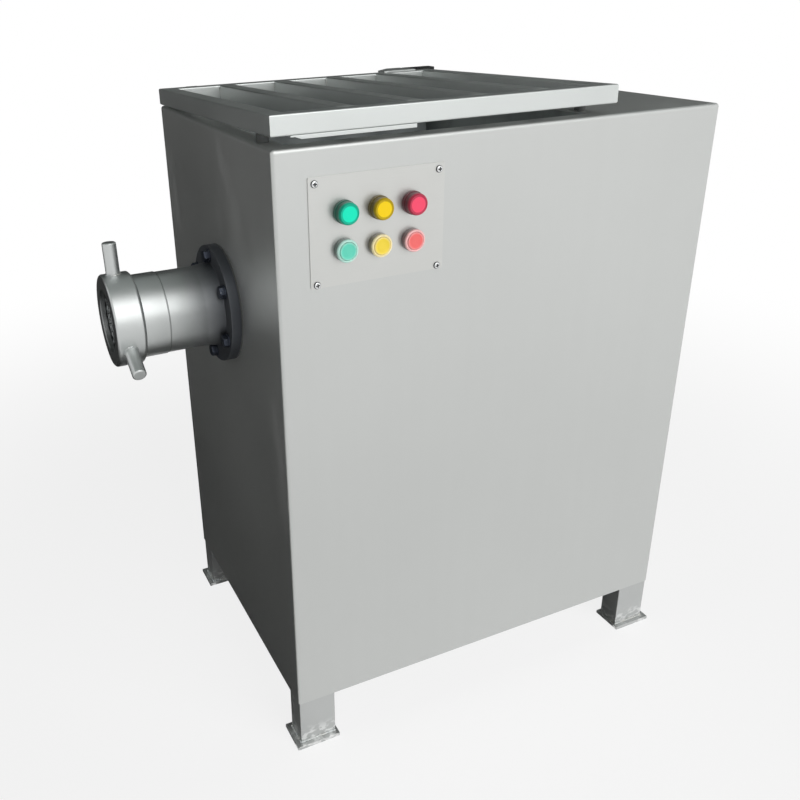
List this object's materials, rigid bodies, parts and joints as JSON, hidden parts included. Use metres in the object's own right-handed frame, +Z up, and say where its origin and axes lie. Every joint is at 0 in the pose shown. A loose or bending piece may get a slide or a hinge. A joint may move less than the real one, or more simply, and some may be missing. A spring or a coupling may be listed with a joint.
{
  "type": "meat grinder",
  "caption": "Floor-standing meat grinder: steel cabinet with hinged barred guard over a hopper, flanged barrel with ring nut, plate, knife and feed screw, belt and gear drive.",
  "frame": {"origin": "on the floor under the middle of the whole outline", "axes": "+Z up; the control panel faces -Y; the grinding head points to -X"},
  "size_m": [0.901, 0.5542, 0.9765],
  "materials": {
    "cabinet_steel": "bead-blasted stainless sheet",
    "tube_steel": "satin stainless tube",
    "turned_steel": "turned stainless",
    "flange_steel": "dark flange bolts and washers",
    "knife_steel": "ground tool steel",
    "plate_steel": "fine brushed control plate",
    "bright_screw": "bright screws and pins",
    "rubber_black": "matte rubber",
    "black_plastic": "matte moulding",
    "pale_plastic": "pale bezel",
    "green_lens": "coloured lens",
    "yellow_lens": "coloured lens",
    "red_lens": "coloured lens",
    "green_cap": "coloured cap",
    "yellow_cap": "coloured cap",
    "red_cap": "coloured cap",
    "gearbox_paint": "grey enamel on cast iron",
    "motor_paint": "blue-grey enamel",
    "cast_iron": "machined cast iron",
    "gear_steel": "machined steel",
    "frame_steel": "welded stainless tube"
  },
  "bodies": {
    "root": {"front_panel": "cabinet_steel", "left_end_panel": "cabinet_steel", "right_end_panel": "cabinet_steel", "top_plate": "cabinet_steel", "rear_panel": "cabinet_steel", "rear_panel_screws": "bright_screw", "base_frame": "frame_steel", "legs": "frame_steel", "foot_plates": "frame_steel", "hopper": "cabinet_steel", "shaft_seal": "rubber_black", "barrel": "turned_steel", "barrel_gasket": "rubber_black", "barrel_bolts": "flange_steel", "barrel_washers": "flange_steel", "plate_key": "gear_steel", "gearbox_housing": "gearbox_paint", "gearbox_cover": "gearbox_paint", "gearbox_bolts": "gear_steel", "gearbox_bearings": "gear_steel", "gearbox_bracket": "frame_steel", "v_belts": "rubber_black", "motor_rails": "frame_steel", "motor_housing": "motor_paint", "motor_end_shields": "motor_paint", "motor_fan_cover": "motor_paint", "motor_terminal_box": "motor_paint", "hinge_brackets": "tube_steel", "hinge_switch": "black_plastic", "guard_buffers": "rubber_black", "control_plate": "plate_steel", "control_plate_screws": "bright_screw", "lamp_lens_green": "green_lens", "lamp_lens_yellow": "yellow_lens", "lamp_lens_red": "red_lens", "button_bezels": "pale_plastic", "switch_bodies": "black_plastic", "electrical_enclosure": "gearbox_paint", "cable_gland": "black_plastic"},
    "screw": {"feed_screw": "turned_steel", "knife": "knife_steel", "output_shaft": "gear_steel", "output_gear": "gear_steel"},
    "input": {"input_shaft": "gear_steel", "large_sheave": "cast_iron"},
    "rotor": {"motor_rotor": "gear_steel", "small_sheave": "cast_iron", "motor_fan": "black_plastic"},
    "plate": {"cutting_plate": "knife_steel"},
    "ring": {"ring_nut": "turned_steel", "ring_handles": "turned_steel"},
    "guard": {"guard_frame": "tube_steel", "guard_slats": "tube_steel", "guard_lift_lip": "tube_steel", "guard_hinge_leaves": "tube_steel", "hinge_pins": "bright_screw"},
    "start_button": {"button_cap_green": "green_cap"},
    "reverse_button": {"button_cap_yellow": "yellow_cap"},
    "stop_button": {"button_cap_red": "red_cap"}
  },
  "joints": [
    {"name": "screw_spin", "type": "hinge", "parent": "root", "child": "screw", "pos_m": [-0.2755, -0.02514, 0.68], "axis": [1, 0, 0], "continuous": true},
    {"name": "input_spin", "type": "hinge", "parent": "root", "child": "input", "pos_m": [0.2245, -0.02514, 0.56], "axis": [1, 0, 0], "continuous": true},
    {"name": "motor_spin", "type": "hinge", "parent": "root", "child": "rotor", "pos_m": [0.1245, -0.02514, 0.264], "axis": [1, 0, 0], "continuous": true},
    {"name": "plate_slide", "type": "slide", "parent": "root", "child": "plate", "axis": [-1, 0, 0], "range_m": [0, 0.02405]},
    {"name": "ring_turn", "type": "hinge", "parent": "plate", "child": "ring", "pos_m": [-0.4305, -0.02514, 0.68], "axis": [-1, 0, 0], "range_deg": [0, 2160]},
    {"name": "guard_hinge", "type": "hinge", "parent": "root", "child": "guard", "pos_m": [-0.022, 0.25786, 0.955], "axis": [-1, 0, 0], "range_deg": [0, 100]},
    {"name": "start_press", "type": "slide", "parent": "root", "child": "start_button", "axis": [0, 1, 0], "range_m": [0, 0.004], "stiffness_N_per_m": 900},
    {"name": "reverse_press", "type": "slide", "parent": "root", "child": "reverse_button", "axis": [0, 1, 0], "range_m": [0, 0.004], "stiffness_N_per_m": 900},
    {"name": "stop_press", "type": "slide", "parent": "root", "child": "stop_button", "axis": [0, 1, 0], "range_m": [0, 0.004], "stiffness_N_per_m": 900}
  ],
  "couplings": [
    {"joint": "input_spin", "follows": "screw_spin", "ratio": -2.5294},
    {"joint": "motor_spin", "follows": "screw_spin", "ratio": -6.4905},
    {"joint": "plate_slide", "follows": "ring_turn", "m_per_rad": 0.00063662}
  ]
}
